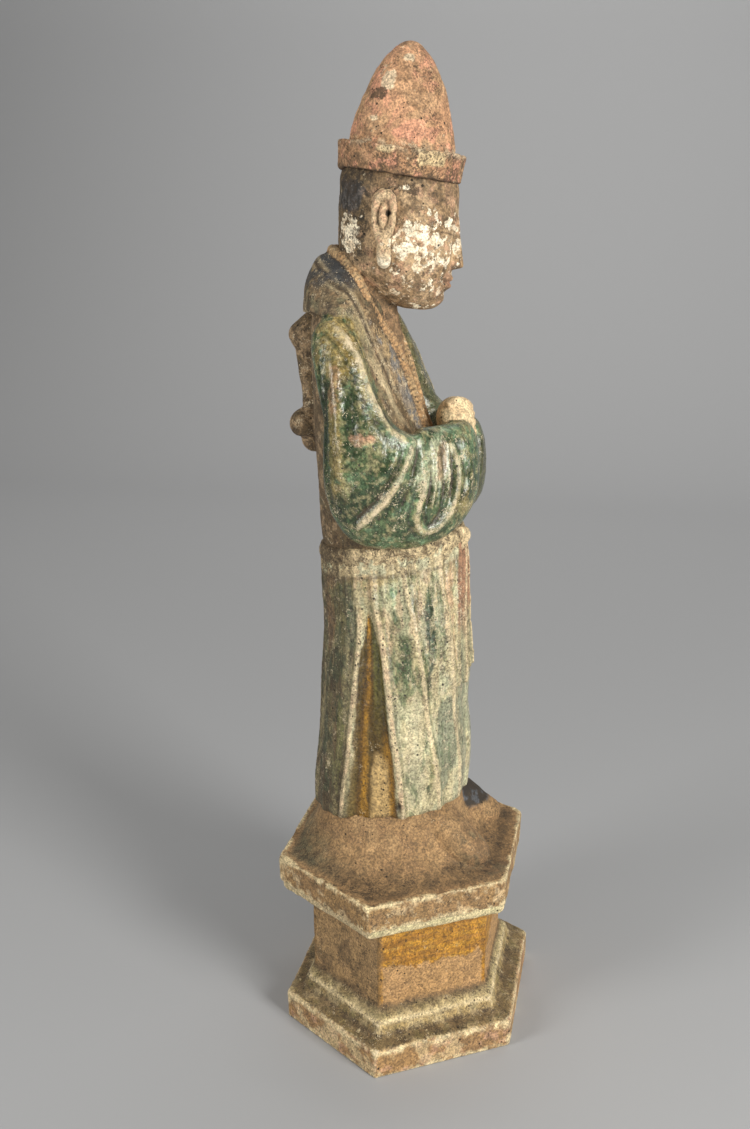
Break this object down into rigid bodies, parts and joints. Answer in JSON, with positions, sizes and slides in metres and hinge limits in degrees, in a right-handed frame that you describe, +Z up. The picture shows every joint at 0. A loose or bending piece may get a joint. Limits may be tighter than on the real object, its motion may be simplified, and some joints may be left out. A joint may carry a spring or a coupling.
{
  "type": "tomb figure",
  "caption": "Glazed tomb figure of a standing attendant in a long belted robe and tall pointed hat, hands clasped inside wide sleeves, fired in one with its stepped hexagonal plinth.",
  "frame": {"origin": "on the ground, under the middle of the plinth's footprint", "axes": "+Z up from the plinth's underside to the tip of the hat; the figure faces -Y, and its right side is towards -X"},
  "size_m": [0.2004, 0.1504, 0.5998],
  "materials": {
    "glazed_clay": null
  },
  "bodies": {
    "root": {"sancai_attendant_figure": "glazed_clay"}
  },
  "joints": []
}
